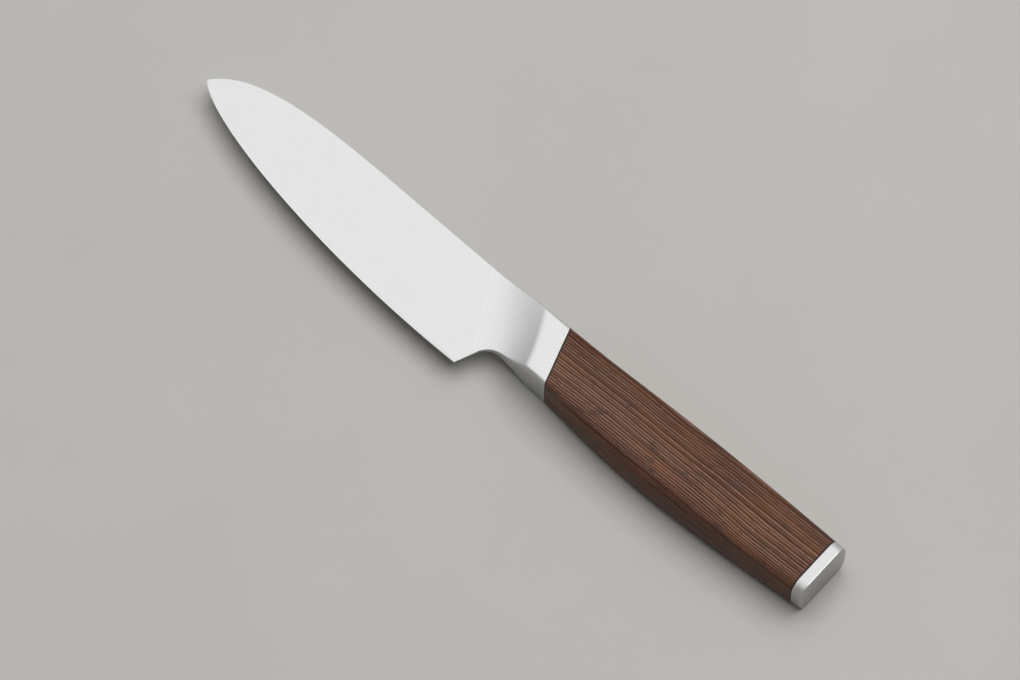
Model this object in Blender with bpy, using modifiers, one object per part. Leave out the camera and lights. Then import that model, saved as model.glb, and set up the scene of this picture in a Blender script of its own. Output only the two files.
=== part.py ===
"""Kitchen knife with a forged-look steel bolster, a wenge grip on a hidden tang and a steel end cap.

The knife lies on its side, as on a table. X runs along it from the tip (-) to the butt (+), Y from the
cutting edge (-) to the spine (+), and Z up through its thickness. Plan positions are measured from the
point where the joint between bolster and grip would cross the line y = 0, just inside the handle's
spine; the empty "knife" then carries it all to where the whole knife's bottom centre is the origin.
"""

import math

import bmesh
import bpy
from mathutils import Matrix, Vector

MM = 0.001

# Clearances: between faces that meet in plain view, round hidden fits, and past blind ends
SEAM = 0.05 * MM
FIT = 0.12 * MM
END_PLAY = 0.3 * MM

# Handle
HANDLE_THICKNESS = 13.2 * MM
HANDLE_LENGTH = 92.6 * MM
JOINT_SLANT = math.radians(18.2)

# Blade, in plan
BLADE_LENGTH = 102.1 * MM
HEEL_SETBACK = 18.1 * MM
HEEL_DEPTH = 24.7 * MM
HEEL_LEAN = math.radians(66.0)
TIP_DEPTH = 6.64 * MM
SPINE_HEIGHT = 0.9 * MM
SPINE_SLOPE = 0.034
SPINE_STRAIGHT = 65.5 * MM
SPINE_CREST_PULL = 32.0 * MM
SPINE_TIP_PULL = 11.5 * MM
SPINE_TIP_ANGLE = math.radians(50.9)
EDGE_HEEL_PULL = 45.2 * MM
EDGE_TIP_PULL = 11.6 * MM
EDGE_TIP_ANGLE = math.radians(47.9)

# Blade, in thickness: each side is one flat grind
SPINE_THICKNESS = 2.0 * MM
HEEL_THICKNESS = 0.5 * MM
TIP_THICKNESS = 0.5 * MM
EDGE_ANGLE = math.radians(20.0)
SPINE_CHAMFER = 0.2 * MM

# Weld between blade and bolster, with the tongue of the blade that is let into the bolster
WELD_SETBACK = 26.6 * MM
TONGUE_HEIGHT = 8.0 * MM
TONGUE_LENGTH = 6.0 * MM
TONGUE_SHOULDER = 0.3 * MM
TONGUE_ROOT = 1.5 * MM

# Bolster
BELLY_DEPTH = 15.4 * MM
JOINT_DEPTH = 15.7 * MM
CHOIL_RADIUS = 5.5 * MM
LAND_SETBACK = 8.2 * MM
LAND_SLANT = math.radians(21.2)
LAND_BOW = 0.6 * MM
NECK_POWER = 2.1
JOINT_BELLY_BULGE = 0.3 * MM
JOINT_SPINE_BULGE = 0.8 * MM
JOINT_ROUND = 0.7 * MM

# Grip
LINER_THICKNESS = 0.3 * MM
BUTT_DEPTH = 17.1 * MM
BUTT_RISE = 0.8 * MM
BELLY_SWELL = 3.0 * MM
BELLY_SKEW = 0.8
SPINE_SWELL = 0.9 * MM
GRIP_BELLY_BULGE = 2.1 * MM
GRIP_SPINE_BULGE = 2.0 * MM
GRIP_ROUND = 1.4 * MM
ROUNDING_LENGTH = 18.0 * MM
BULGE_POWER = 2.6

# End cap and its pins
CAP_THICKNESS = 3.1 * MM
CAP_CHAMFER = 0.2 * MM
CAP_FLOOR = 1.0 * MM
PIN_DIAMETER = 2.0 * MM
PIN_LENGTH = 8.0 * MM
PIN_WALL = 1.0 * MM
PIN_CHAMFER = 0.3 * MM

# Tang, washer and nut
TANG_WIDTH = 7.0 * MM
TANG_THICKNESS = 3.0 * MM
TANG_IN_BOLSTER = 7.0 * MM
STUD_DIAMETER = 4.0 * MM
STUD_ROOT = 1.0 * MM
STUD_PAST_NUT = 1.5 * MM
STUD_CHAMFER = 0.5 * MM
CLAMPED_WOOD = 7.0 * MM
NUT_ACROSS_FLATS = 7.0 * MM
NUT_THICKNESS = 3.2 * MM
WASHER_DIAMETER = 8.0 * MM
WASHER_THICKNESS = 0.5 * MM
SPANNER_ROOM = 0.45 * MM
COUNTERBORE_SPARE = 3.0 * MM

# Facets
EDGE_STEPS = 44
SPINE_STEPS = 30
NECK_RINGS = 14
GRIP_RINGS = 24
SIDE_STEPS = 6
CORNER_STEPS = 4
END_STEPS = 10
ROUND_STEPS = 24

# Places that follow from those sizes
HALF = HANDLE_THICKNESS / 2
TIP = Vector((-HEEL_SETBACK - BLADE_LENGTH, -TIP_DEPTH))
HEEL = Vector((-HEEL_SETBACK, -HEEL_DEPTH))
GRIP_FRONT = LINER_THICKNESS + 2 * SEAM
CAP_FRONT = HANDLE_LENGTH - CAP_THICKNESS
GRIP_REAR = CAP_FRONT - LINER_THICKNESS - 2 * SEAM
TANG_AXIS = (BUTT_RISE - BUTT_DEPTH) / 2
NUT_ACROSS_CORNERS = NUT_ACROSS_FLATS / math.cos(math.pi / 6)
COUNTERBORE_DIAMETER = max(NUT_ACROSS_CORNERS, WASHER_DIAMETER) + 2 * SPANNER_ROOM
NUT_STACK = WASHER_THICKNESS + NUT_THICKNESS + 2 * SEAM
COUNTERBORE_FLOOR = GRIP_REAR - NUT_STACK - STUD_PAST_NUT - COUNTERBORE_SPARE
TANG_SHOULDER = COUNTERBORE_FLOOR - CLAMPED_WOOD
PIN_END = HANDLE_LENGTH - CAP_FLOOR - END_PLAY
PIN_OFFSET = (COUNTERBORE_DIAMETER + PIN_DIAMETER) / 2 + PIN_WALL
PIN_PLACES = {"spine": TANG_AXIS + PIN_OFFSET, "belly": TANG_AXIS - PIN_OFFSET}


def blend(start, end, t):
    return start + (end - start) * t


def ease(t):
    """0 to 1 with level ends, held beyond them."""
    t = min(max(t, 0.0), 1.0)
    return t * t * (3 - 2 * t)


def cubic(a, b, c, d, t):
    """Point at t on the curve from a to d that leaves towards b and arrives from c."""
    s = 1 - t
    return s * s * s * a + 3 * s * s * t * b + 3 * s * t * t * c + t * t * t * d


def spine_line(x):
    """Height of the spine along its straight run, from the joint to the blade's crest."""
    return SPINE_HEIGHT - SPINE_SLOPE * x


def edge_outline():
    """The cutting edge from tip to heel."""
    leave = TIP + EDGE_TIP_PULL * Vector((math.cos(EDGE_TIP_ANGLE), -math.sin(EDGE_TIP_ANGLE)))
    arrive = HEEL - EDGE_HEEL_PULL * Vector((1, 0))
    return [cubic(TIP, leave, arrive, HEEL, step / EDGE_STEPS) for step in range(EDGE_STEPS + 1)]


def spine_outline():
    """The spine from the crest, where its straight run ends, round to the tip."""
    crest = Vector((-SPINE_STRAIGHT, spine_line(-SPINE_STRAIGHT)))
    leave = crest + SPINE_CREST_PULL * Vector((-1, SPINE_SLOPE)).normalized()
    arrive = TIP + SPINE_TIP_PULL * Vector((math.cos(SPINE_TIP_ANGLE), math.sin(SPINE_TIP_ANGLE)))
    return [cubic(crest, leave, arrive, TIP, step / SPINE_STEPS) for step in range(SPINE_STEPS + 1)]


def choil_start():
    """Where the heel's straight rear edge runs into the choil's arc."""
    rise = HEEL_DEPTH - BELLY_DEPTH - CHOIL_RADIUS * (1 - math.cos(HEEL_LEAN))
    return HEEL + Vector((rise / math.tan(HEEL_LEAN), rise))


def weld_root():
    """Where the weld meets the spine."""
    return Vector((-WELD_SETBACK, spine_line(-WELD_SETBACK)))


def weld_slant():
    """Lean of the weld, which runs from the spine to the start of the choil's arc."""
    run = choil_start() - weld_root()
    return math.atan2(run.x, -run.y)


def on_plane(setback, slant, y):
    """Plan point at height y on the upright plane that crosses y = 0 at setback and leans by slant."""
    return Vector((setback - y * math.tan(slant), y))


def spine_corner(setback, slant, below=0.0):
    """Where such a plane meets a line that runs this far below the spine."""
    y = (spine_line(setback) - below) / (1 - SPINE_SLOPE * math.tan(slant))
    return on_plane(setback, slant, y)


def belly_line(x):
    """Height of the belly corner at x: the choil's arc, then a straight run to the joint."""
    centre = choil_start() + CHOIL_RADIUS * Vector((math.sin(HEEL_LEAN), -math.cos(HEEL_LEAN)))
    if x < centre.x:
        return centre.y + math.sqrt(max(CHOIL_RADIUS**2 - (x - centre.x) ** 2, 0.0))
    joint_x = JOINT_DEPTH * math.tan(JOINT_SLANT)
    return blend(-BELLY_DEPTH, -JOINT_DEPTH, min((x - centre.x) / (joint_x - centre.x), 1.0))


def belly_corner(setback, slant):
    """Where such a plane meets the belly line, found by halving."""
    low = choil_start().x
    high = HANDLE_LENGTH
    for _ in range(50):
        middle = (low + high) / 2
        if middle < on_plane(setback, slant, belly_line(middle)).x:
            low = middle
        else:
            high = middle
    return Vector((low, belly_line(low)))


def blade_half(point):
    """Half the blade's thickness: the flat grind through its root, its heel and its tip."""
    root = weld_root()
    to_heel = HEEL - root
    to_tip = TIP - root
    heel_drop = (HEEL_THICKNESS - SPINE_THICKNESS) / 2
    tip_drop = (TIP_THICKNESS - SPINE_THICKNESS) / 2
    area = to_heel.x * to_tip.y - to_heel.y * to_tip.x
    slope_x = (heel_drop * to_tip.y - tip_drop * to_heel.y) / area
    slope_y = (tip_drop * to_heel.x - heel_drop * to_tip.x) / area
    away = point - root
    return SPINE_THICKNESS / 2 + slope_x * away.x + slope_y * away.y


def inset(outline, widths):
    """A closed outline moved in by the widths, one for the side after each of its points."""
    moved = []
    for index, point in enumerate(outline):
        before = (point - outline[index - 1]).normalized()
        after = (outline[(index + 1) % len(outline)] - point).normalized()
        in_before = Vector((-before.y, before.x)) * widths[index - 1]
        in_after = Vector((-after.y, after.x)) * widths[index]
        turn = before.x * after.y - before.y * after.x
        if abs(turn) < 0.05:
            moved.append(point + (in_before + in_after) / 2)
            continue
        gap = in_after - in_before
        slide = (gap.x * after.y - gap.y * after.x) / turn
        moved.append(point + in_before + before * slide)
    return moved


def end_bulge(bulge, z, half):
    """How far an end of a ring stands out past its corners, at height z."""
    return bulge * (1 - abs(z / half) ** BULGE_POWER)


def end_profile(half, side_half, bulge, rounding):
    """One end of a ring from its upper side round to its lower side, as (distance past corner, z)."""
    start = Vector((-rounding, side_half))
    corner = Vector((0, half))
    stop = Vector((end_bulge(bulge, half - rounding, half), half - rounding))
    upper = []
    for step in range(CORNER_STEPS + 1):
        t = step / CORNER_STEPS
        upper.append((1 - t) ** 2 * start + 2 * t * (1 - t) * corner + t * t * stop)
    middle = []
    for step in range(1, END_STEPS):
        z = (half - rounding) * math.cos(math.pi * step / END_STEPS)
        middle.append(Vector((end_bulge(bulge, z, half), z)))
    lower = [Vector((point.x, -point.y)) for point in reversed(upper)]
    return upper + middle + lower


def ring(spine, belly, halves, bulges, rounding, bow=0.0):
    """One ring of points round the bolster or the handle, on an upright plane.

    spine and belly are its corners in plan; halves and bulges hold a value for the spine and one for
    the belly. It runs from belly to spine over the top and back below. bow pushes its middle back.
    """
    length = (spine - belly).length
    along = (spine - belly) / length

    def side_half(distance):
        return blend(halves[1], halves[0], distance / length)

    near = side_half(rounding)
    far = side_half(length - rounding)
    steps = [blend(rounding, length - rounding, step / SIDE_STEPS) for step in range(1, SIDE_STEPS)]
    points = [(distance, side_half(distance)) for distance in steps]
    points += [(length + past, z) for past, z in end_profile(halves[0], far, bulges[0], rounding)]
    points += [(distance, -side_half(distance)) for distance in reversed(steps)]
    points += [(-past, -z) for past, z in end_profile(halves[1], near, bulges[1], rounding)]

    placed = []
    for distance, z in points:
        share = min(max(distance / length, 0.0), 1.0)
        plan = belly + along * distance
        placed.append(Vector((plan.x + bow * 4 * share * (1 - share), plan.y, z)))
    return placed


def bolster_ring(setback, slant, grown, bow):
    """Ring of the bolster whose thickness has grown from the blade's, 0, to the handle's, 1."""
    spine = spine_corner(setback, slant, JOINT_SPINE_BULGE * grown)
    belly = belly_corner(setback, slant)
    halves = (blend(blade_half(spine), HALF, grown), blend(blade_half(belly), HALF, grown))
    bulges = (JOINT_SPINE_BULGE * grown, JOINT_BELLY_BULGE * grown)
    return ring(spine, belly, halves, bulges, blend(SPINE_CHAMFER, JOINT_ROUND, grown), bow)


def bolster_rings():
    """From the weld, through the hollow neck, to the flat land and the joint."""
    root = weld_root()
    slant = weld_slant()
    start = root.x + root.y * math.tan(slant) + SEAM
    rings = []
    for step in range(NECK_RINGS + 1):
        t = step / NECK_RINGS
        setback = blend(start, -LAND_SETBACK, t)
        rings.append(bolster_ring(setback, blend(slant, LAND_SLANT, t), t**NECK_POWER, LAND_BOW * t))
    rings.append(bolster_ring(-LAND_SETBACK / 2, (LAND_SLANT + JOINT_SLANT) / 2, 1.0, LAND_BOW / 2))
    rings.append(bolster_ring(0.0, JOINT_SLANT, 1.0, 0.0))
    return rings


def handle_ring(x, trim=0.0):
    """Ring of the handle behind the joint: x is where its plane crosses y = 0, trim an inset."""
    along = min(max((x - GRIP_FRONT) / (GRIP_REAR - GRIP_FRONT), 0.0), 1.0)
    slant = math.atan(math.tan(JOINT_SLANT) * (1 - along))
    softened = ease(x / ROUNDING_LENGTH)
    belly_bulge = blend(JOINT_BELLY_BULGE, GRIP_BELLY_BULGE, softened)
    spine_bulge = blend(JOINT_SPINE_BULGE, GRIP_SPINE_BULGE, softened)
    u = x / HANDLE_LENGTH
    belly_depth = blend(JOINT_DEPTH + JOINT_BELLY_BULGE, BUTT_DEPTH, u)
    belly_depth += BELLY_SWELL * math.sin(math.pi * u**BELLY_SKEW)
    spine_rise = blend(SPINE_HEIGHT, BUTT_RISE, u) + SPINE_SWELL * math.sin(math.pi * u)
    return ring(
        on_plane(x, slant, spine_rise - spine_bulge - trim),
        on_plane(x, slant, belly_bulge - belly_depth + trim),
        (HALF - trim, HALF - trim),
        (spine_bulge, belly_bulge),
        blend(JOINT_ROUND, GRIP_ROUND, softened),
    )


def material(name, colour, roughness, metallic):
    made = bpy.data.materials.new(name)
    made.use_nodes = True
    shader = made.node_tree.nodes["Principled BSDF"]
    shader.inputs["Base Color"].default_value = (*colour, 1.0)
    shader.inputs["Roughness"].default_value = roughness
    shader.inputs["Metallic"].default_value = metallic
    made.diffuse_color = (*colour, 1.0)
    return made


def steel(name):
    return material(name, (0.78, 0.78, 0.77), 0.32, 1.0)


def black(name):
    return material(name, (0.02, 0.018, 0.016), 0.6, 0.0)


def clear_scene():
    for obj in list(bpy.data.objects):
        bpy.data.objects.remove(obj, do_unlink=True)


def new_collection(name):
    made = bpy.data.collections.new(name)
    bpy.context.scene.collection.children.link(made)
    return made


def add(name, mesh, collection, parent, origin=(0, 0, 0)):
    """Object of a mesh drawn in the knife's frame, with its own origin at the given point."""
    mesh.transform(Matrix.Translation(-Vector(origin)))
    obj = bpy.data.objects.new(name, mesh)
    collection.objects.link(obj)
    obj.parent = parent
    obj.location = origin
    return obj


def finish(obj, skin):
    """Gives a piece its material and smooth shading that breaks at its real edges."""
    obj.data.materials.append(skin)
    obj.data.shade_smooth()
    obj.data.set_sharp_from_angle(angle=math.radians(28))
    return obj


def mesh_from(form, name):
    mesh = bpy.data.meshes.new(name)
    form.to_mesh(mesh)
    form.free()
    return mesh


def loft(name, rings):
    """Closed mesh through rings of equal count, each end closed by one face."""
    form = bmesh.new()
    loops = [[form.verts.new(point) for point in points] for points in rings]
    count = len(loops[0])
    for lower, upper in zip(loops, loops[1:]):
        for index in range(count):
            after = (index + 1) % count
            form.faces.new((lower[index], lower[after], upper[after], upper[index]))
    form.faces.new(reversed(loops[0]))
    form.faces.new(loops[-1])
    bmesh.ops.recalc_face_normals(form, faces=form.faces)
    return mesh_from(form, name)


def box(name, size, centre, turn=0.0):
    """Cuboid mesh, turned about the upright axis."""
    form = bmesh.new()
    place = Matrix.Translation(centre) @ Matrix.Rotation(turn, 4, "Z")
    bmesh.ops.create_cube(form, size=1.0, matrix=place @ Matrix.Diagonal((*size, 1)))
    return mesh_from(form, name)


def rod(name, diameter, start, end, y, sides=ROUND_STEPS):
    """Cylinder or prism mesh along X at height y."""
    form = bmesh.new()
    place = Matrix.Translation(((start + end) / 2, y, 0)) @ Matrix.Rotation(math.pi / 2, 4, "Y")
    bmesh.ops.create_cone(
        form,
        cap_ends=True,
        segments=sides,
        radius1=diameter / 2,
        radius2=diameter / 2,
        depth=end - start,
        matrix=place,
    )
    return mesh_from(form, name)


def turned(name, profile, collection, parent, origin, hollow=False):
    """A turned piece along X from (radius, distance) pairs that run from its far end back.

    A hollow piece's profile is a closed outline clear of the axis.
    """
    mesh = bpy.data.meshes.new(name)
    points = [(radius, 0, distance) for radius, distance in profile]
    edges = [(i, i + 1) for i in range(len(points) - 1)]
    if hollow:
        edges.append((len(points) - 1, 0))
    mesh.from_pydata(points, edges, [])
    obj = bpy.data.objects.new(name, mesh)
    collection.objects.link(obj)
    obj.parent = parent
    obj.location = origin
    obj.rotation_euler = (0, math.pi / 2, 0)
    screw = obj.modifiers.new("turn", "SCREW")
    screw.axis = "Z"
    screw.steps = ROUND_STEPS
    screw.render_steps = ROUND_STEPS
    screw.use_merge_vertices = True
    screw.merge_threshold = 0.00001
    screw.use_smooth_shade = False
    return obj


def combine(target, helper, operation):
    modifier = target.modifiers.new(helper.name, "BOOLEAN")
    modifier.operation = operation
    modifier.solver = "EXACT"
    modifier.object = helper
    helper.hide_render = True
    helper.display_type = "WIRE"


def cut(target, mesh, cutters):
    combine(target, add(mesh.name, mesh, cutters, target.parent), "DIFFERENCE")


def pin_profile(length, diameter, chamfer):
    """Profile of a plain pin with both ends chamfered."""
    radius = diameter / 2
    return [
        (0, length),
        (radius - chamfer, length),
        (radius, length - chamfer),
        (radius, chamfer),
        (radius - chamfer, 0),
        (0, 0),
    ]


def tongue_block(name, clearance, play):
    """The blade's tongue, or the slot for it: a cuboid across the middle of the weld."""
    middle = (weld_root() + choil_start()) / 2
    turn = weld_slant()
    foot = middle - TONGUE_HEIGHT / 2 * Vector((-math.sin(turn), math.cos(turn)))
    thickness = 2 * (blade_half(foot) - TONGUE_SHOULDER + clearance)
    reach = TONGUE_LENGTH + play
    shift = Matrix.Rotation(turn, 3, "Z") @ Vector(((reach - TONGUE_ROOT) / 2, 0, 0))
    size = (reach + TONGUE_ROOT, TONGUE_HEIGHT + 2 * clearance, thickness)
    return box(name, size, middle.to_3d() + shift, turn)


def tang_bar(name, start, end, clearance=0.0):
    """The flat bar of the tang between two places along its axis, or a slot that clears it."""
    size = (end - start, TANG_WIDTH + 2 * clearance, TANG_THICKNESS + 2 * clearance)
    return box(name, size, Vector(((start + end) / 2, TANG_AXIS, 0)))


def make_blade(parts, cutters, knife):
    """Flat-ground blade: five stacked outlines, from one side's face past the edge to the other's."""
    outline = edge_outline() + [choil_start(), weld_root()] + spine_outline()[:-1]
    bevels = [blade_half(point) / math.tan(EDGE_ANGLE) for point in outline]
    edge_widths = [(bevels[index] + bevels[index + 1]) / 2 for index in range(EDGE_STEPS)]
    spine_widths = [SPINE_CHAMFER] * (SPINE_STEPS + 1)
    face = inset(outline, edge_widths + [SPINE_CHAMFER, 0.0] + spine_widths)
    shoulder = []
    for index, (point, inner) in enumerate(zip(outline, face)):
        if index <= EDGE_STEPS:
            shoulder.append((*((point + inner) / 2), blade_half(inner) / 2))
        else:
            shoulder.append((*point, blade_half(point) - SPINE_CHAMFER))
    top = [(*point, blade_half(point)) for point in face]
    middle = [(*point, 0.0) for point in outline]
    below = [[(x, y, -z) for x, y, z in level] for level in (top, shoulder)]
    mesh = loft("blade", [*below, middle, shoulder, top])
    blade = add("blade", mesh, parts, knife, HEEL.to_3d())
    tongue = add("tongue", tongue_block("tongue", 0.0, 0.0), cutters, knife)
    combine(blade, tongue, "UNION")
    return finish(blade, steel("blade_steel"))


def make_bolster(parts, cutters, knife):
    """Hollow neck and slanted land, slotted for the blade's tongue and bored for the tang."""
    bolster = add("bolster", loft("bolster", bolster_rings()), parts, knife)
    cut(bolster, tongue_block("tongue_slot", FIT, END_PLAY), cutters)
    joint_x = on_plane(0.0, JOINT_SLANT, TANG_AXIS).x
    depth = TANG_IN_BOLSTER + END_PLAY
    cut(bolster, tang_bar("tang_socket", joint_x - depth, joint_x + depth, FIT), cutters)
    return finish(bolster, steel("bolster_steel"))


def make_tang(parts, cutters, knife):
    """Flat bar from the bolster's socket, ending in the stud that the nut draws up."""
    start = on_plane(0.0, JOINT_SLANT, TANG_AXIS).x - TANG_IN_BOLSTER
    tang = add("tang", tang_bar("tang", start, TANG_SHOULDER), parts, knife, (start, TANG_AXIS, 0))
    stud_start = TANG_SHOULDER - STUD_ROOT
    stud_end = COUNTERBORE_FLOOR + NUT_STACK + STUD_PAST_NUT
    profile = pin_profile(stud_end - stud_start, STUD_DIAMETER, STUD_CHAMFER)
    stud = turned("stud", profile, cutters, knife, (stud_start, TANG_AXIS, 0))
    combine(tang, stud, "UNION")
    return finish(tang, steel("tang_steel"))


def make_front_liner(parts, cutters, knife):
    """Thin black liner between bolster and grip, with the tang's slot through it."""
    rings = [handle_ring(SEAM), handle_ring(SEAM + LINER_THICKNESS)]
    liner = add("front_liner", loft("front_liner", rings), parts, knife)
    joint_x = on_plane(0.0, JOINT_SLANT, TANG_AXIS).x
    slot = tang_bar("front_liner_slot", joint_x - TANG_WIDTH, joint_x + TANG_WIDTH, FIT)
    cut(liner, slot, cutters)
    return finish(liner, black("front_liner_black"))


def make_grip(parts, cutters, knife):
    """Wenge body with a slot for the bar, a bore for the stud and a counterbore for the nut."""
    places = [blend(GRIP_FRONT, GRIP_REAR, step / GRIP_RINGS) for step in range(GRIP_RINGS + 1)]
    grip = add("grip", loft("grip", [handle_ring(x) for x in places]), parts, knife)
    cut(grip, tang_bar("tang_slot", -HANDLE_THICKNESS, TANG_SHOULDER + END_PLAY, FIT), cutters)
    bore_start = TANG_SHOULDER - STUD_ROOT - END_PLAY
    bore_end = COUNTERBORE_FLOOR + COUNTERBORE_SPARE
    cut(grip, rod("stud_bore", STUD_DIAMETER + 2 * FIT, bore_start, bore_end, TANG_AXIS), cutters)
    counterbore = rod(
        "counterbore", COUNTERBORE_DIAMETER, COUNTERBORE_FLOOR, HANDLE_LENGTH, TANG_AXIS
    )
    cut(grip, counterbore, cutters)
    hole_start = PIN_END - PIN_LENGTH - END_PLAY
    for side, y in PIN_PLACES.items():
        name = f"grip_hole_{side}"
        cut(grip, rod(name, PIN_DIAMETER + 2 * FIT, hole_start, HANDLE_LENGTH, y), cutters)
    return finish(grip, material("wenge", (0.13, 0.055, 0.032), 0.55, 0.0))


def make_washer_and_nut(parts, cutters, knife):
    """They sit on the counterbore's floor and draw the grip up against the bolster."""
    inner = STUD_DIAMETER / 2 + FIT
    outer = WASHER_DIAMETER / 2
    profile = [(inner, 0), (inner, WASHER_THICKNESS), (outer, WASHER_THICKNESS), (outer, 0)]
    place = (COUNTERBORE_FLOOR + SEAM, TANG_AXIS, 0)
    washer = turned("tang_washer", profile, parts, knife, place, hollow=True)
    finish(washer, steel("washer_steel"))
    start = COUNTERBORE_FLOOR + WASHER_THICKNESS + 2 * SEAM
    end = start + NUT_THICKNESS
    hexagon = rod("tang_nut", NUT_ACROSS_CORNERS, start, end, TANG_AXIS, sides=6)
    nut = add("tang_nut", hexagon, parts, knife, (start, TANG_AXIS, 0))
    bore = rod(
        "nut_bore",
        STUD_DIAMETER + 2 * FIT,
        start - NUT_THICKNESS,
        end + NUT_THICKNESS,
        TANG_AXIS,
    )
    cut(nut, bore, cutters)
    finish(nut, steel("nut_steel"))


def make_rear_liner(parts, cutters, knife):
    """Thin black liner between grip and end cap, with a hole for each pin."""
    rings = [handle_ring(GRIP_REAR + SEAM), handle_ring(CAP_FRONT - SEAM)]
    liner = add("rear_liner", loft("rear_liner", rings), parts, knife, (GRIP_REAR, 0, 0))
    for side, y in PIN_PLACES.items():
        name = f"rear_liner_hole_{side}"
        hole = rod(name, PIN_DIAMETER + 2 * FIT, PIN_END - PIN_LENGTH, PIN_END, y)
        cut(liner, hole, cutters)
    return finish(liner, black("rear_liner_black"))


def make_cap_pins(parts, knife):
    for side, y in PIN_PLACES.items():
        profile = pin_profile(PIN_LENGTH, PIN_DIAMETER, PIN_CHAMFER)
        name = f"cap_pin_{side}"
        pin = turned(name, profile, parts, knife, (PIN_END - PIN_LENGTH, y, 0))
        finish(pin, steel(name + "_steel"))


def make_end_cap(parts, cutters, knife):
    """Steel plate over the butt, its outer edge eased, with two blind holes for its pins."""
    rings = [
        handle_ring(CAP_FRONT),
        handle_ring(HANDLE_LENGTH - CAP_CHAMFER),
        handle_ring(HANDLE_LENGTH, CAP_CHAMFER),
    ]
    cap = add("end_cap", loft("end_cap", rings), parts, knife, (CAP_FRONT, 0, 0))
    for side, y in PIN_PLACES.items():
        name = f"cap_hole_{side}"
        hole = rod(name, PIN_DIAMETER + 2 * FIT, PIN_END - PIN_LENGTH, PIN_END + END_PLAY, y)
        cut(cap, hole, cutters)
    return finish(cap, steel("end_cap_steel"))


def plan_centre():
    """Middle of the whole knife's outline, so that its bottom centre becomes the origin."""
    spine_top = max(point.y for point in spine_outline())
    edge_low = min(point.y for point in edge_outline())
    return Vector(((TIP.x + HANDLE_LENGTH) / 2, (spine_top + edge_low) / 2))


def main():
    clear_scene()
    parts = new_collection("kitchen_knife")
    cutters = new_collection("cutters")
    knife = bpy.data.objects.new("knife", None)
    parts.objects.link(knife)
    centre = plan_centre()
    knife.location = (-centre.x, -centre.y, HALF)
    make_blade(parts, cutters, knife)
    make_bolster(parts, cutters, knife)
    make_tang(parts, cutters, knife)
    make_front_liner(parts, cutters, knife)
    make_grip(parts, cutters, knife)
    make_washer_and_nut(parts, cutters, knife)
    make_rear_liner(parts, cutters, knife)
    make_cap_pins(parts, knife)
    make_end_cap(parts, cutters, knife)


main()
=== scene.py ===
"""Kitchen knife with a wenge grip, seen on a plain studio floor, laid out as a Blender add-on."""

import math

import bmesh
import bpy
from bpy.props import FloatProperty, FloatVectorProperty, PointerProperty
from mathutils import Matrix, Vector


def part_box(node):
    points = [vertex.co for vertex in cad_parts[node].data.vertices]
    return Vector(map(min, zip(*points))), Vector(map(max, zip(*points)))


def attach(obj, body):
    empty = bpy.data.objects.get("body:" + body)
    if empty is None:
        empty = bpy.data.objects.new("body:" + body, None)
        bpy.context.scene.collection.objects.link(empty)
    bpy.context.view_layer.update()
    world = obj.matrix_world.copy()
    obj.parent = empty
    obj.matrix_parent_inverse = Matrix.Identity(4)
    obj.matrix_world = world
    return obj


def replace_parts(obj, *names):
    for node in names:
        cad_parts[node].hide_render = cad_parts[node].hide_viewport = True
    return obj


bl_info = {
    "name": "Kitchen Knife",
    "version": (1, 0, 0),
    "blender": (4, 5, 0),
    "location": "3D View > Sidebar > Knife",
    "description": "Builds a kitchen knife with a steel bolster, a wenge grip and a steel end cap",
    "category": "Add Mesh",
}

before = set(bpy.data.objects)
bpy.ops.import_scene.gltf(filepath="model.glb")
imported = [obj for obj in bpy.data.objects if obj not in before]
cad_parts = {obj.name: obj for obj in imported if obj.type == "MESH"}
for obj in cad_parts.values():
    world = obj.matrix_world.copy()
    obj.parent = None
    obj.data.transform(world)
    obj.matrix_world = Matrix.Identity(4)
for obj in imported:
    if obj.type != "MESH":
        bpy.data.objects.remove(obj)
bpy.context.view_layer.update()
MM = 0.001

# Steps of the handle's sections along the neck and along the grip
NECK_STEPS = 14
GRIP_STEPS = 16

# Shares of its half thickness and of its depth that the handle's blank is cut at
LEVELS = (-0.72, -0.5, -0.25, 0.0, 0.25, 0.5, 0.72)
COLUMNS = (0.0, 0.25, 0.5, 0.75, 1.0)

# The blank's distance between sections, its half depth, and how far its ends run past the handle's
PITCH = 10 * MM
WIDE = 10 * MM
SPARE = 5 * MM

# Thickness of the plate that the blade is cut from
PLATE = 4 * MM

# Hidden forms: the step of the blade's tongue and how far it starts inside the blade, the room for a
# spanner round the nut, how far the counterbore runs past the nut, and the pins' nodes
TONGUE_SHOULDER = 0.3 * MM
TONGUE_ROOT = 1.5 * MM
SPANNER_ROOM = 0.45 * MM
COUNTERBORE_RUN = 20 * MM
PINS = ("cap_pin_belly", "cap_pin_spine")

# Gaps and roundings that are too fine to be settings
WELD_GAP = 0.004 * MM
WELD_EASE = 0.01 * MM
WELD_ROUNDING = 0.08 * MM
LINER_EASE = 0.03 * MM

# Places of the faint witness lines on blade and bolster, in millimetres behind the weld
BLADE_LINE = -0.9
BOLSTER_LINE = 0.15

# Painted shade: how much darker the upright faces of blade and bolster, and of the end cap, are
# painted
WALL_SHADE = 0.36
CAP_WALL_SHADE = 0.42

# Brightness of the studio dome by height, from the horizon to overhead
DOME = ((0.0, 0.38), (0.23, 0.44), (0.5, 0.61), (0.72, 0.76), (0.86, 0.86), (0.94, 0.91))

# Direction of a bright window high beyond the butt, which shows along the end cap's rim
WINDOW = (0.43, 0.31, 0.85)

# The point on the floor that the camera looks at
AIM = Vector((0.000539, 0.002359, 0))


# Shader maths


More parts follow.
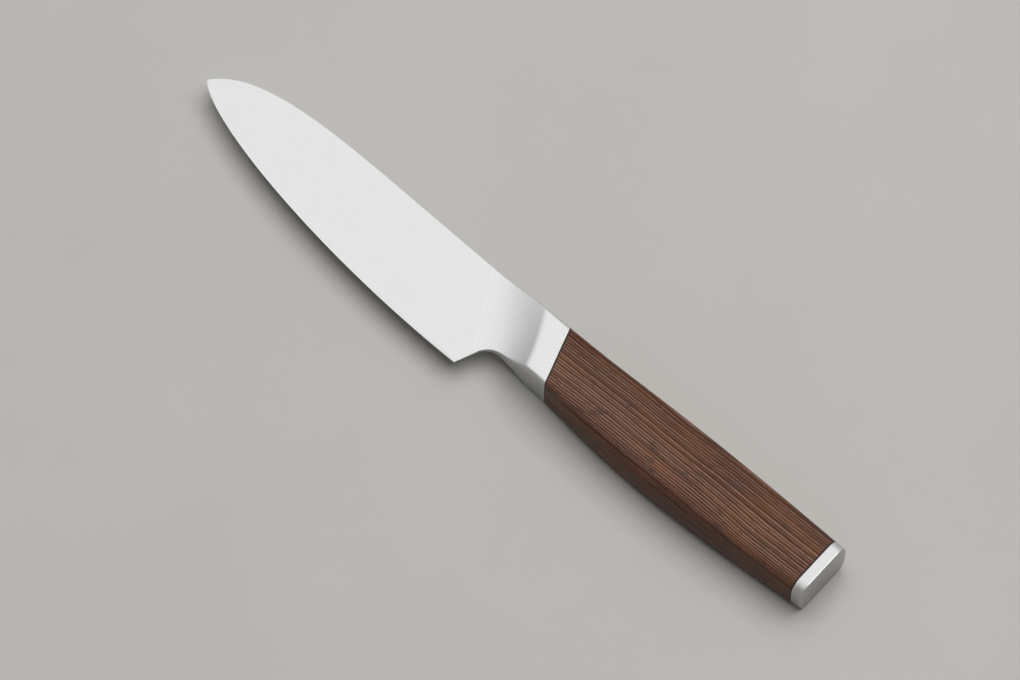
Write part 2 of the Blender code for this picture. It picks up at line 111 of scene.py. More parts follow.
class Wire:
    """A shader socket that Python expressions can work on: each expression adds its nodes."""

    def __init__(self, tree, socket=None):
        self.tree = tree
        self.socket = socket

    def node(self, kind, settings=None, sockets=None, out=0):
        """Adds a node: its settings first, a ramp's stops among them, then its sockets."""
        made = self.tree.nodes.new("ShaderNode" + kind)
        for name, value in (settings or {}).items():
            if name == "stops":
                ramp = made.color_ramp.elements
                while len(ramp) < len(value):
                    ramp.new(1.0)
                for element, (place, colour) in zip(ramp, value):
                    element.position = place
                    element.color = colour
            else:
                setattr(made, name, value)
        for name, value in (sockets or {}).items():
            if isinstance(value, Wire):
                self.tree.links.new(value.socket, made.inputs[name])
            else:
                made.inputs[name].default_value = value
        return Wire(self.tree, made.outputs[out])

    def maths(self, operation, *others):
        return self.node("Math", {"operation": operation}, dict(enumerate((self, *others))))

    def vectors(self, operation, *others):
        return self.node("VectorMath", {"operation": operation}, dict(enumerate((self, *others))))

    def __add__(self, other):
        return self.maths("ADD", other)

    def __sub__(self, other):
        return self.maths("SUBTRACT", other)

    def __mul__(self, other):
        return self.maths("MULTIPLY", other)

    def __truediv__(self, other):
        return self.maths("DIVIDE", other)

    def __rsub__(self, other):
        return self.maths("MULTIPLY_ADD", -1.0, other)

    __radd__ = __add__
    __rmul__ = __mul__

    def value(self):
        """The number that a Vector Math node gives."""
        return Wire(self.tree, self.socket.node.outputs["Value"])

    def between(self, low, high):
        """0 below low, 1 above high and a smooth step from one to the other."""
        settings = {"interpolation_type": "SMOOTHSTEP"}
        if low < high:
            return self.node("MapRange", settings, {"Value": self, 1: low, 2: high})
        return self.node("MapRange", settings, {"Value": self, 1: high, 2: low, 3: 1.0, 4: 0.0})

    def scaled(self, factor):
        """This colour made darker or lighter."""
        return self.node("VectorMath", {"operation": "SCALE"}, {0: self, "Scale": factor})

    def mix(self, first, second):
        """first where this mask is 0, second where it is 1; both are colours."""
        settings = {"data_type": "RGBA"}
        return self.node("Mix", settings, {0: self, 6: first, 7: second}, out=2)

    def stretched(self, x, y, z):
        """This vector with each axis scaled."""
        return self.vectors("MULTIPLY", (x, y, z))

    def noise(self, scale=1.0, detail=2.0, roughness=0.5):
        sockets = {"Vector": self, "Scale": scale, "Detail": detail, "Roughness": roughness}
        return self.node("TexNoise", None, sockets)


def start_material(name):
    """A new material: its tree as a wire, its shader node and the piece's own place in millimetres."""
    made = bpy.data.materials.new(name)
    made.use_nodes = True
    wire = Wire(made.node_tree)
    shader = made.node_tree.nodes["Principled BSDF"]
    place = wire.node("TexCoord", out=3).stretched(1000, 1000, 1000)
    return made, wire, shader, place


def feed(shader, **sockets):
    """Sets or links the shader's sockets, named with _ for a space."""
    named = {socket.name.lower().replace(" ", "_"): socket for socket in shader.inputs}
    for name, value in sockets.items():
        socket = named[name]
        if isinstance(value, Wire):
            value.tree.links.new(value.socket, socket)
        else:
            socket.default_value = value


def edge_mask(wire, reach):
    """1 along edges that a hand or a cloth rubs, 0 on the open faces."""
    rounded = wire.node("Bevel", {"samples": 6}, {"Radius": reach})
    flat = wire.node("NewGeometry", out=1)
    return (1 - rounded.vectors("DOT_PRODUCT", flat).value()).between(0.005, 0.12)


def behind_weld(place):
    """Distance behind the weld's plane; place and result are in millimetres."""
    slant, root = weld_slant(), (origin() + weld_root().to_3d()) / MM
    facing = (math.cos(slant), math.sin(slant), 0)
    return place.vectors("SUBTRACT", root).vectors("DOT_PRODUCT", facing).value()


def brushed_steel(name, look, along, weld=None, wall_shade=0.0):
    """Satin steel with fine lines; along is their stretch on each axis.

    weld is the place of a faint witness line, as millimetres behind the weld, and walls is how
    much darker the upright faces are painted than the level ones, a painted shade.
    """
    made, wire, shader, place = start_material(name)
    pitch = look.line_pitch / MM
    lines = place.stretched(*(a / pitch for a in along)).noise(1.0, 3.0, 0.65)
    long_lines = place.stretched(*(a / (4.3 * pitch) for a in along)).noise(1.0, 2.0, 0.5)
    cloud = place.noise(0.09, 3.0, 0.55)
    worn = edge_mask(wire, 0.3 * MM)
    dark = tuple(c * 0.98 for c in look.colour) + (1.0,)
    light = tuple(min(c * 1.015, 1.0) for c in look.colour) + (1.0,)
    bright = tuple(min(c * 1.22, 1.0) for c in look.colour) + (1.0,)
    tone = (lines * 0.5 + long_lines * 0.3 + cloud * 0.2).between(0.3, 0.7)
    facing = wire.node("SeparateXYZ", None, {0: wire.node("NewGeometry", out="Normal")}, out=2)
    # Painted shade: the upright faces are painted darker than the level ones
    shade = 1 - facing.maths("ABSOLUTE").between(0.85, 0.35) * wall_shade
    rubbed = worn * 0.85
    if weld is not None:
        behind = behind_weld(place)
        rubbed *= behind.maths("ABSOLUTE").between(0.45, 0.6)
        rubbed += (behind - weld).maths("ABSOLUTE").between(0.4, 0.1) * 0.11
    feed(
        shader,
        base_color=rubbed.mix(tone.mix(dark, light), bright).scaled(shade),
        metallic=1.0,
        roughness=look.roughness + (lines - 0.5) * 0.1 + (cloud - 0.5) * 0.06 - rubbed * 0.08,
        normal=wire.node(
            "Bump",
            None,
            {"Strength": 0.06, "Distance": 0.01 * MM, "Height": lines * 0.7 + long_lines * 0.3},
        ),
    )
    return made


def wenge(name, look):
    """Dark open-grained wood: fine light and dark growth lines, orange and grey patches, pores.

    Painted shade darkens it down its belly and spine sides.
    """
    made, wire, shader, place = start_material(name)
    turned = wire.node(
        "Mapping", {"vector_type": "POINT"}, {"Vector": place, "Rotation": (math.radians(-40), 0, 0)}
    )
    pitch = look.line_pitch / MM
    sway = turned.stretched(0.02, 0.05, 0.05).noise(1.0, 1.0, 0.5) - 0.5
    waver = turned.stretched(0.1, 0.35, 0.35).noise(1.0, 1.0, 0.5) - 0.5
    across = wire.node("SeparateXYZ", None, {0: turned}, out=1) / pitch + sway * 3 + waver * 0.5
    along = wire.node("SeparateXYZ", None, {0: turned}, out=0)
    row = across.maths("FLOOR")
    chance = wire.node("TexWhiteNoise", {"noise_dimensions": "1D"}, {"W": row})
    beside = (across - row - 0.5 + (chance - 0.5) * 0.3).maths("ABSOLUTE")
    flow = wire.node("CombineXYZ", None, {0: along * 0.05, 1: row * 5.3, 2: 0.0})
    run = flow.noise(1.0, 2.0, 0.6)
    light_lines = beside.between(0.22, 0.02) * (run * 1.1 + chance * 0.7).between(0.38, 1.1)
    shadow_run = flow.stretched(1, 1.7, 1).noise(1.0, 2.0, 0.6)
    dark_lines = beside.between(0.3, 0.46) * (shadow_run - chance * 0.25).between(0.2, 0.5)
    bands = turned.stretched(0.02, 0.16, 0.16).noise(1.0, 3.0, 0.6)
    patches = turned.stretched(0.04, 0.2, 0.2).noise(1.0, 3.0, 0.6)
    smudges = turned.stretched(0.16, 0.34, 0.34).noise(1.0, 3.0, 0.6).between(0.56, 0.68)
    pores = turned.stretched(0.4, 7.0, 7.0).noise(1.0, 1.0, 0.4).between(0.62, 0.7)
    fibres = turned.stretched(0.3, 9.0, 9.0).noise(1.0, 2.0, 0.6)
    specks = turned.noise(2.1, 0.0, 0.5).between(0.86, 0.89)
    height = wire.node("SeparateXYZ", None, {0: place}, out=1)
    # Painted shade: darker down the belly side and down the spine side
    painted_side_shade = height.between(-2.0, -8.5) * 0.42 + height.between(6.0, 10.0) * 0.42
    rich = patches.between(0.42, 0.66)
    body = bands.between(0.35, 0.65).mix((*look.dark, 1), (*look.middle, 1))
    body = (rich * 0.85).mix(body, (*look.rich, 1))
    body = (light_lines * 0.9).mix(body, (*look.light, 1))
    body = (dark_lines * 0.7).mix(body, (*look.deep, 1))
    body = (painted_side_shade + fibres.between(0.55, 0.3) * 0.3).mix(body, (*look.deep, 1))
    body = (smudges * 0.6).mix(body, (*look.smudge, 1))
    body = (pores * 0.6).mix(body, (*look.deep, 1))
    body = (specks * 0.7).mix(body, (0.5, 0.36, 0.26, 1))
    worn = edge_mask(wire, 0.6 * MM)
    body = (worn * 0.35).mix(body, tuple(c * 0.5 for c in look.middle) + (1,))
    feed(
        shader,
        base_color=body,
        specular_ior_level=0.2,
        roughness=look.roughness + (light_lines - dark_lines) * 0.06 + pores * 0.15 - worn * 0.12,
        normal=wire.node(
            "Bump",
            None,
            {
                "Strength": 0.4,
                "Distance": 0.04 * MM,
                "Height": light_lines * 0.5 - dark_lines * 0.4 - pores * 0.8,
            },
        ),
    )
    return made


def fibre(name, colour):
    """Pressed fibre with fine threads in it."""
    made, wire, shader, place = start_material(name)
    threads = place.stretched(0.8, 6, 6).noise(1.0, 4.0, 0.7)
    worn = edge_mask(wire, 0.15 * MM)
    tone = (threads * 0.7 + worn * 0.3).between(0.3, 0.75)
    bright = tuple(c * 2.6 for c in colour) + (1.0,)
    feed(
        shader,
        base_color=tone.mix((*colour, 1), bright),
        roughness=0.5 + threads * 0.2,
        normal=wire.node("Bump", None, {"Strength": 0.3, "Distance": 0.02 * MM, "Height": threads}),
    )
    return made


def studio_paint(name, look):
    """Plain pale floor with the faint mottling of a painted board."""
    made, wire, shader, place = start_material(name)
    mottle = place.noise(0.012, 4.0, 0.6)
    grain = place.noise(1.4, 3.0, 0.6)
    dark = tuple(c * 0.975 for c in look.floor) + (1.0,)
    light = tuple(c * 1.025 for c in look.floor) + (1.0,)
    feed(
        shader,
        base_color=(mottle * 0.7 + grain * 0.3).between(0.3, 0.7).mix(dark, light),
        roughness=0.75 + (mottle - 0.5) * 0.1,
        normal=wire.node("Bump", None, {"Strength": 0.1, "Distance": 0.1 * MM, "Height": grain}),
    )
    return made


def studio_dome(look):
    """Round studio tent, brightest overhead, that shows in reflections only, and a weak fill.

    Both are brighter beyond the knife, in the direction that the camera looks in.
    """
    world = bpy.data.worlds.new("studio_dome")
    world.use_nodes = True
    wire = Wire(world.node_tree)
    direction = wire.node("TexCoord", out=0)
    height = wire.node("SeparateXYZ", None, {0: direction}, out=2)
    stops = [(place, (level, level, level, 1)) for place, level in DOME]
    dome = wire.node("ValToRGB", {"stops": stops}, {0: height})
    reflected = wire.node("LightPath", out="Is Glossy Ray") * (
        1 - wire.node("LightPath", out="Diffuse Depth")
    )
    behind = direction.vectors("DOT_PRODUCT", away(look.heading)).value()
    window = direction.vectors("DOT_PRODUCT", WINDOW).value().between(0.965, 0.99)
    fill = (behind * 0.8 + 1) * look.fill
    shade = reflected.mix(fill, dome * (behind * 0.35 + 1) + window * 2)
    world.node_tree.links.new(shade.socket, world.node_tree.nodes["Background"].inputs["Color"])
    return world


def away(heading):
    """The level direction at a heading from +Y towards -X."""
    return Vector((-math.sin(heading), math.cos(heading), 0))


# Settings


def colour(name, description, default):
    return FloatVectorProperty(
        name=name, description=description, default=default, subtype="COLOR", min=0, max=1
    )


def length(name, description, millimetres):
    return FloatProperty(
        name=name,
        description=description,
        default=millimetres * MM,
        min=0,
        precision=5,
        unit="LENGTH",
        subtype="DISTANCE",
    )


def share(name, description, default):
    return FloatProperty(
        name=name, description=description, default=default, min=0, max=1, subtype="FACTOR"
    )


def turn(name, description, degrees):
    return FloatProperty(
        name=name, description=description, default=math.radians(degrees), subtype="ANGLE"
    )


class KNIFE_PG_blade(bpy.types.PropertyGroup):
    length: length("Length", "Tip to heel, along the knife", 102.1)
    heel_setback: length("Heel Setback", "Heel ahead of the joint with the grip", 18.1)
    heel_depth: length("Heel Depth", "Heel below the joint's line", 24.7)
    heel_lean: turn("Heel Lean", "Angle of the heel's rear edge", 66)
    tip_depth: length("Tip Depth", "Tip below the joint's line", 6.64)
    spine_height: length("Spine Height", "Spine above the joint's line", 0.9)
    spine_slope: share("Spine Slope", "Rise of the straight spine towards the tip", 0.034)
    spine_straight: length("Straight Spine", "Straight run of the spine from the joint", 65.5)
    crest_pull: length("Crest Curve", "How long the spine keeps its direction at the crest", 32)
    spine_tip_pull: length("Spine Curve at Tip", "How far the tip shapes the spine", 11.5)
    spine_tip_angle: turn("Spine Angle at Tip", "Angle of the spine at the tip", 50.9)
    edge_heel_pull: length("Edge Curve at Heel", "How long the edge stays straight", 45.2)
    edge_tip_pull: length("Edge Curve at Tip", "How far the tip shapes the edge", 11.6)
    edge_tip_angle: turn("Edge Angle at Tip", "Angle of the edge at the tip", 47.9)
    spine_thickness: length("Spine Thickness", "Thickness of the blade at the weld's spine end", 2.0)
    edge_thickness: length("Edge Thickness", "Thickness where the sharpened edge begins", 0.5)
    edge_bevel: length("Sharpened Edge", "Width of the sharpened edge", 0.55)
    spine_ease: length("Spine Easing", "Rounding of the spine's corners", 0.16)
    weld_setback: length("Weld Setback", "Weld at the spine, ahead of the joint", 26.6)
    tongue_height: length("Tongue Height", "Height of the hidden tongue", 8)
    tongue_length: length("Tongue Length", "How far the hidden tongue enters the bolster", 6)
    colour: colour("Steel", "Colour of the blade's steel", (0.80, 0.80, 0.80))
    roughness: share("Satin", "Roughness of the blade's satin finish", 0.3)
    line_pitch: length("Line Pitch", "Distance between the finest grinding lines", 0.07)


class KNIFE_PG_bolster(bpy.types.PropertyGroup):
    joint_slant: turn("Joint Slant", "Slant of the joint with the grip", 18.2)
    joint_depth: length("Joint Depth", "Belly corner below the joint's line, at the joint", 15.7)
    belly_depth: length("Belly Depth", "Belly corner below the joint's line, at the neck", 15.4)
    choil_radius: length("Choil Radius", "Radius of the hollow behind the heel", 5.5)
    land_setback: length("Land Setback", "Front of the flat land, ahead of the joint", 7.85)
    land_slant: turn("Land Slant", "Slant of the land's front line", 22.9)
    land_bow: length("Land Bow", "How far the middle of the land's front line is set back", 0.6)
    neck_power: FloatProperty(
        name="Neck Hollow", description="How late the neck swells to the land", default=2.4, min=1
    )
    spine_fade: share("Spine Fade", "How much softer the neck runs out at the spine", 0.33)
    belly_bulge: length("Belly Bulge", "How far the belly face stands out at the joint", 0.3)
    spine_bulge: length("Spine Bulge", "How far the spine face stands out at the joint", 0.8)
    rounding: length("Corner Rounding", "Rounding of the land's long corners", 0.7)
    colour: colour("Steel", "Colour of the bolster's steel", (0.80, 0.80, 0.80))
    roughness: share("Satin", "Roughness of the bolster's satin finish", 0.28)
    line_pitch: length("Line Pitch", "Distance between the bolster's finest lines", 0.06)


class KNIFE_PG_cap(bpy.types.PropertyGroup):
    ease: length("Edge Easing", "Rounding of the end cap's outer edge", 0.4)
    colour: colour("Steel", "Colour of the end cap's steel", (0.78, 0.775, 0.77))
    roughness: share("Satin", "Roughness of the end cap's brushed finish", 0.34)
    line_pitch: length("Line Pitch", "Distance between the end cap's brush lines", 0.12)


class KNIFE_PG_grip(bpy.types.PropertyGroup):
    thickness: length("Thickness", "Thickness of the handle", 13.2)
    length: length("Length", "Length of the handle behind the joint, end cap included", 92.6)
    butt_depth: length("Butt Depth", "Belly below the joint's line at the butt", 17.1)
    butt_rise: length("Butt Rise", "Spine above the joint's line at the butt", 0.8)
    belly_swell: length("Belly Swell", "How far the belly swells below a straight run", 3.0)
    belly_skew: share("Belly Skew", "Moves the fullest place of the belly forwards", 0.8)
    spine_swell: length("Spine Swell", "How far the spine swells above a straight run", 0.9)
    belly_bulge: length("Belly Bulge", "How far the belly face stands out", 2.1)
    spine_bulge: length("Spine Bulge", "How far the spine face stands out", 2.0)
    bulge_power: FloatProperty(
        name="Bulge Fullness", description="How square the bulged faces are", default=3.6, min=1
    )
    rounding: length("Corner Rounding", "Rounding of the grip's long corners", 1.4)
    rounding_length: length("Rounding Run", "Run behind the joint that the rounding grows over", 18)
    liner_thickness: length("Liner Thickness", "Thickness of each liner", 0.3)
    cap_thickness: length("End Cap Thickness", "Thickness of the end cap", 3.1)
    seam: length("Seam", "Gap between pieces that meet in plain view", 0.05)
    fit: length("Fit", "Clearance round the hidden pieces", 0.12)
    joint_ease: length("Joint Easing", "Rounding of the edges at the joints", 0.05)
    light: colour("Light Line", "Colour of the wood's light lines", (0.56, 0.32, 0.235))
    middle: colour("Body", "Colour of the wood between its lines", (0.148, 0.078, 0.054))
    dark: colour("Dark Band", "Colour of the wood's darker bands", (0.116, 0.055, 0.039))
    # The pore colour is also what the painted shade down the grip's sides draws towards
    deep: colour("Pore", "Colour of the wood's pores and darkest lines", (0.045, 0.014, 0.008))
    rich: colour("Orange Patch", "Colour of the wood's orange patches", (0.225, 0.094, 0.043))
    smudge: colour("Grey Smudge", "Colour of the wood's grey smudges", (0.085, 0.058, 0.046))
    front_liner: colour("Front Liner", "Colour of the liner at the joint", (0.05, 0.024, 0.015))
    rear_liner: colour("Rear Liner", "Colour of the liner at the end cap", (0.012, 0.010, 0.009))
    roughness: share("Oil Finish", "Roughness of the oiled wood", 0.5)
    line_pitch: length("Line Pitch", "Distance between the wood's growth lines", 0.6)


class KNIFE_PG_stage(bpy.types.PropertyGroup):
    floor: colour("Floor", "Colour of the plain floor", (0.75, 0.73, 0.695))
    key_power: FloatProperty(
        name="Key Light",
        description="Power of the softbox that casts the shadows",
        default=26.2,
        unit="POWER",
    )
    key_size: length("Key Light Size", "Width of that softbox", 2000)
    key_distance: length("Key Light Distance", "Distance from the knife to that softbox", 1900)
    key_elevation: turn("Key Light Height", "Angle of that softbox above the floor", 73)
    key_heading: turn("Key Light Heading", "Direction of that softbox, from +Y towards -X", -8)
    fill: share("Fill", "Weak light from all round on floor and wood", 0.135)
    elevation: turn("Camera Height", "Angle of the camera above the floor", 66)
    heading: turn("Camera Heading", "Direction the camera looks in, from +Y towards -X", 41.2)
    distance: length("Camera Distance", "Distance from the camera to the knife", 2071.57)
    lens: FloatProperty(
        name="Lens", description="Focal length of the camera", default=282.353, unit="CAMERA"
    )


# Form


def look(part):
    """The settings of one part of the knife."""
    return getattr(bpy.context.scene, "knife_" + part)


def blend(start, end, t):
    return start + (end - start) * t


def ease(t):
    """0 to 1 with level ends, held beyond them."""
    t = min(max(t, 0.0), 1.0)
    return t * t * (3 - 2 * t)


def spine_line(x):
    """Height of the spine's straight run from the joint to the blade's crest."""
    blade = look("blade")
    return blade.spine_height - blade.spine_slope * x


def tip():
    blade = look("blade")
    return Vector((-blade.heel_setback - blade.length, -blade.tip_depth))


def heel():
    blade = look("blade")
    return Vector((-blade.heel_setback, -blade.heel_depth))


def choil_start():
    """Where the heel's straight rear edge runs into the choil's arc."""
    blade, bolster = look("blade"), look("bolster")
    rise = blade.heel_depth - bolster.belly_depth
    rise -= bolster.choil_radius * (1 - math.cos(blade.heel_lean))
    return heel() + Vector((rise / math.tan(blade.heel_lean), rise))


def weld_root():
    """Where the weld meets the spine."""
    setback = look("blade").weld_setback
    return Vector((-setback, spine_line(-setback)))


def weld_slant():
    run = choil_start() - weld_root()
    return math.atan2(run.x, -run.y)


def grind():
    """The flat grind of the upper side, as a point on it and its direction outwards."""
    blade, root = look("blade"), weld_root()
    root_point = root.to_3d() + Vector((0, 0, blade.spine_thickness / 2))
    heel_point = heel().to_3d() + Vector((0, 0, blade.edge_thickness / 2))
    tip_point = tip().to_3d() + Vector((0, 0, blade.edge_thickness / 2))
    facing = (tip_point - root_point).cross(heel_point - root_point).normalized()
    return root_point, facing


def blade_half(point):
    """Half the blade's thickness at a plan point."""
    root_point, facing = grind()
    offset = point - root_point.to_2d()
    return root_point.z - (facing.x * offset.x + facing.y * offset.y) / facing.z


def on_plane(setback, slant, y):
    """Plan point at height y on the upright plane that crosses y = 0 at setback and leans by slant."""
    return Vector((setback - y * math.tan(slant), y))


def belly_line(x):
    """Height of the bolster's belly corner at x: the choil's arc, then straight to the joint."""
    blade, bolster = look("blade"), look("bolster")
    radius, lean = bolster.choil_radius, blade.heel_lean
    centre = choil_start() + radius * Vector((math.sin(lean), -math.cos(lean)))
    if x < centre.x:
        return centre.y + math.sqrt(max(radius**2 - (x - centre.x) ** 2, 0.0))
    joint_x = bolster.joint_depth * math.tan(bolster.joint_slant)
    along = min((x - centre.x) / (joint_x - centre.x), 1.0)
    return blend(-bolster.belly_depth, -bolster.joint_depth, along)


def belly_corner(setback, slant):
    """Where an upright plane meets the belly line, found by halving."""
    low, high = choil_start().x, look("grip").length
    for _ in range(40):
        middle = (low + high) / 2
        if middle < on_plane(setback, slant, belly_line(middle)).x:
            low = middle
        else:
            high = middle
    return Vector((low, belly_line(low)))


def neck_section(setback, slant, t, bow):
    """A section of the bolster, from the blade's thickness at t = 0 to the handle's at 1."""
    bolster, half = look("bolster"), look("grip").thickness / 2
    grown = t**bolster.neck_power
    at_spine = blend(grown, ease(t), bolster.spine_fade)
    below = bolster.spine_bulge * grown
    slope = look("blade").spine_slope
    y = (spine_line(setback) - below) / (1 - slope * math.tan(slant))
    spine = on_plane(setback, slant, y)
    belly = belly_corner(setback, slant)
    return {
        "corners": (belly, spine),
        "halves": (blend(blade_half(belly), half, grown), blend(blade_half(spine), half, at_spine)),
        "bulges": (bolster.belly_bulge * grown, below),
        "rounding": (
            blend(WELD_ROUNDING, bolster.rounding, grown),
            blend(look("blade").spine_ease, bolster.rounding, grown),
        ),
        "bow": bow,
        "slant": slant,
    }


def grip_section(x):
    """A section of the handle behind the joint; x is where its plane crosses y = 0."""
    bolster, grip = look("bolster"), look("grip")
    softened = ease(x / grip.rounding_length)
    u = x / grip.length
    belly_bulge = blend(bolster.belly_bulge, grip.belly_bulge, softened)
    spine_bulge = blend(bolster.spine_bulge, grip.spine_bulge, softened)
    depth = blend(bolster.joint_depth + bolster.belly_bulge, grip.butt_depth, u)
    depth += grip.belly_swell * math.sin(math.pi * u**grip.belly_skew)
    rise = blend(look("blade").spine_height, grip.butt_rise, u)
    rise += grip.spine_swell * math.sin(math.pi * u)
    slant = math.atan(math.tan(bolster.joint_slant) * (1 - min(u * 1.04, 1.0)))
    half = grip.thickness / 2
    return {
        "corners": (
            on_plane(x, slant, belly_bulge - depth),
            on_plane(x, slant, rise - spine_bulge),
        ),
        "halves": (half, half),
        "bulges": (belly_bulge, spine_bulge),
        "rounding": (blend(bolster.rounding, grip.rounding, softened),) * 2,
        "bow": 0.0,
        "slant": slant,
    }


def carried_on(last, before):
    """A section some way past the last, where its corners' lines run on."""
    corners = tuple(
        corner + (corner - earlier).normalized() * SPARE
        for corner, earlier in zip(last["corners"], before["corners"])
    )
    return {**last, "corners": corners}


def sections():
    """The handle's sections from the weld, through the hollow neck and the land, to the butt."""
    bolster, grip = look("bolster"), look("grip")
    root, slant = weld_root(), weld_slant()
    start = root.x + root.y * math.tan(slant) + grip.seam
    found = []
    for step in range(NECK_STEPS + 1):
        t = step / NECK_STEPS
        setback = blend(start, -bolster.land_setback, t)
        lean = blend(slant, bolster.land_slant, t)
        found.append(neck_section(setback, lean, t, bolster.land_bow * t))
    lean = (bolster.land_slant + bolster.joint_slant) / 2
    found.append(neck_section(-bolster.land_setback / 2, lean, 1.0, bolster.land_bow / 2))
    # No section lies on a plane that a piece is later cut along
    first, last = 1 * MM, grip.length + 0.6 * MM
    found += [grip_section(blend(first, last, k / GRIP_STEPS)) for k in range(GRIP_STEPS + 1)]
    return [carried_on(found[0], found[1]), *found, carried_on(found[-1], found[-2])]


# Modelling


def add_piece(name, add, **settings):
    """Adds a primitive as a new piece at the origin and opens it for editing, all selected."""
    bpy.ops.object.select_all(action="DESELECT")
    add(**settings)
    piece = bpy.context.object
    piece.name = piece.data.name = name
    bpy.ops.object.mode_set(mode="EDIT")
    return piece


def edit(piece):
    """Opens a piece for editing with nothing selected."""
    if bpy.context.mode != "OBJECT":
        bpy.ops.object.mode_set(mode="OBJECT")
    bpy.ops.object.select_all(action="DESELECT")
    bpy.context.view_layer.objects.active = piece
    piece.select_set(True)
    bpy.ops.object.mode_set(mode="EDIT")
    bpy.ops.mesh.select_all(action="DESELECT")


def close(piece):
    bpy.ops.object.mode_set(mode="OBJECT")
    return piece


def pick(kind, test):
    """Selects the corners, edges or faces of the open piece that pass a test, and nothing else."""
    bpy.ops.mesh.select_mode(type=kind)
    bpy.ops.mesh.select_all(action="DESELECT")
    form = bmesh.from_edit_mesh(bpy.context.object.data)
    parts = {"VERT": form.verts, "EDGE": form.edges, "FACE": form.faces}[kind]
    found = [part for part in parts if test(part)]
    for part in found:
        part.select_set(True)
    form.select_flush_mode()
    bmesh.update_edit_mesh(bpy.context.object.data)
    if not found:
        raise RuntimeError(f"nothing of {bpy.context.object.name} is at that place")
    return found


def everything():
    bpy.ops.mesh.select_all(action="SELECT")


def shift(offset):
    bpy.ops.transform.translate(value=offset)


def scale(value, centre):
    bpy.ops.transform.resize(value=value, center_override=centre)


def slice_across(point, facing, **options):
    everything()
    bpy.ops.mesh.bisect(plane_co=point, plane_no=facing, threshold=1e-7, **options)


def apply(piece, kind, **settings):
    """Adds a modifier and applies it."""
    bpy.ops.object.select_all(action="DESELECT")
    bpy.context.view_layer.objects.active = piece
    piece.select_set(True)
    modifier = piece.modifiers.new(kind.lower(), kind)
    for name, value in settings.items():
        setattr(modifier, name, value)
    bpy.ops.object.modifier_apply(modifier=modifier.name)


def copy_of(piece, name):
    """A copy with its own mesh."""
    bpy.ops.object.select_all(action="DESELECT")
    bpy.context.view_layer.objects.active = piece
    piece.select_set(True)
    bpy.ops.object.duplicate()
    made = bpy.context.object
    made.name = made.data.name = name
    made.hide_render = made.hide_viewport = False
    return made


def hollow(piece, cutter):
    """Cuts the cutter's form out of a piece and throws the cutter away."""
    apply(piece, "BOOLEAN", operation="DIFFERENCE", solver="EXACT", object=cutter)
    bpy.data.objects.remove(cutter, do_unlink=True)


def clearance(node, room):
    """The space round a hidden node: a merged copy of it, swollen by the room on every side."""
    cutter = copy_of(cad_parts[node], node + "_space")
    cutter.parent = None
    edit(cutter)
    everything()
    bpy.ops.mesh.remove_doubles(threshold=0.001 * MM)
    bpy.ops.transform.shrink_fatten(value=room, use_even_offset=True)
    return close(cutter)


def finish(piece, skin, *nodes):
    """Shades a piece, gives it its finish, and lets it ride in place of its CAD nodes."""
    bpy.ops.object.select_all(action="DESELECT")
    bpy.context.view_layer.objects.active = piece
    piece.select_set(True)
    bpy.ops.object.shade_smooth_by_angle(angle=math.radians(32))
    piece.data.materials.clear()
    piece.data.materials.append(skin)
    apply(piece, "WEIGHTED_NORMAL", keep_sharp=True, weight=80)
    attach(piece, "root")
    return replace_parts(piece, *nodes)


def origin():
    """The joint's point on the line y = 0, in the CAD frame."""
    low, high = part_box("end_cap")
    tang_low, tang_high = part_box("tang")
    grip = look("grip")
    middle = (tang_low.y + tang_high.y) / 2
    axis = (grip.butt_rise - grip.butt_depth) / 2
    return Vector((high.x - grip.length, middle - axis, (low.z + high.z) / 2))


def make_handle_form():
    """The whole handle in one body, longer at both ends than the pieces that are cut from it."""
    found = sections()
    half = look("grip").thickness / 2
    widest = max(max(section["rounding"]) for section in found)
    last = len(found) - 1
    form = add_piece("handle_form", bpy.ops.mesh.primitive_cube_add, size=1)
    scale((last * PITCH, 2 * WIDE, 2 * half), (0, 0, 0))
    shift((last * PITCH / 2, 0, 0))
    for station in range(1, last):
        slice_across((station * PITCH, 0, 0), (1, 0, 0))
    for level in LEVELS:
        slice_across((0, 0, level * half), (0, 0, 1))
    for column in COLUMNS[1:-1]:
        slice_across((0, blend(-WIDE, WIDE, column), 0), (0, 1, 0))

    mesh = bmesh.from_edit_mesh(form.data)
    places = [
        (
            round(vert.co.x / PITCH),
            min(COLUMNS, key=lambda column: abs(blend(-WIDE, WIDE, column) - vert.co.y)),
            vert.co.z / half,
        )
        for vert in mesh.verts
    ]
    weights = mesh.edges.layers.float.new("bevel_weight_edge")
    for edge in mesh.edges:
        (one, column, level), (two, _, _) = (places[vert.index] for vert in edge.verts)
        if one != two and column in (0.0, 1.0) and abs(level) > 0.999:
            side = int(column)
            rounding = found[one]["rounding"][side] + found[two]["rounding"][side]
            edge[weights] = rounding / 2 / widest

    for level in LEVELS:
        for side, column in ((-1, 0.0), (1, 1.0)):
            near = level - 0.001, level + 0.001
            pick(
                "VERT",
                lambda v: places[v.index][1] == column and near[0] < places[v.index][2] < near[1],
            )
            shift((0, side * MM * (1 - abs(level) ** look("grip").bulge_power), 0))
    for station, section in enumerate(found):
        for column in COLUMNS:
            pick("VERT", lambda v: places[v.index][:2] == (station, column))
            here = Vector((station * PITCH, blend(-WIDE, WIDE, column), 0))
            outer = column in (0.0, 1.0)
            bulge = max(section["bulges"][int(column)] / MM, 0.001) if outer else 1.0
            scale((1, bulge, blend(*section["halves"], column) / half), here)
            plan = blend(*section["corners"], column).to_3d()
            plan.x += section["bow"] * 4 * column * (1 - column)
            shift(plan - here)
            bpy.ops.transform.rotate(
                value=section["slant"], orient_axis="Z", center_override=plan
            )
    everything()
    shift(origin())
    close(form)
    apply(
        form,
        "BEVEL",
        limit_method="WEIGHT",
        width=widest,
        segments=4,
        offset_type="OFFSET",
        use_clamp_overlap=False,
    )
    apply(form, "SUBSURF", levels=2, render_levels=2)
    return form


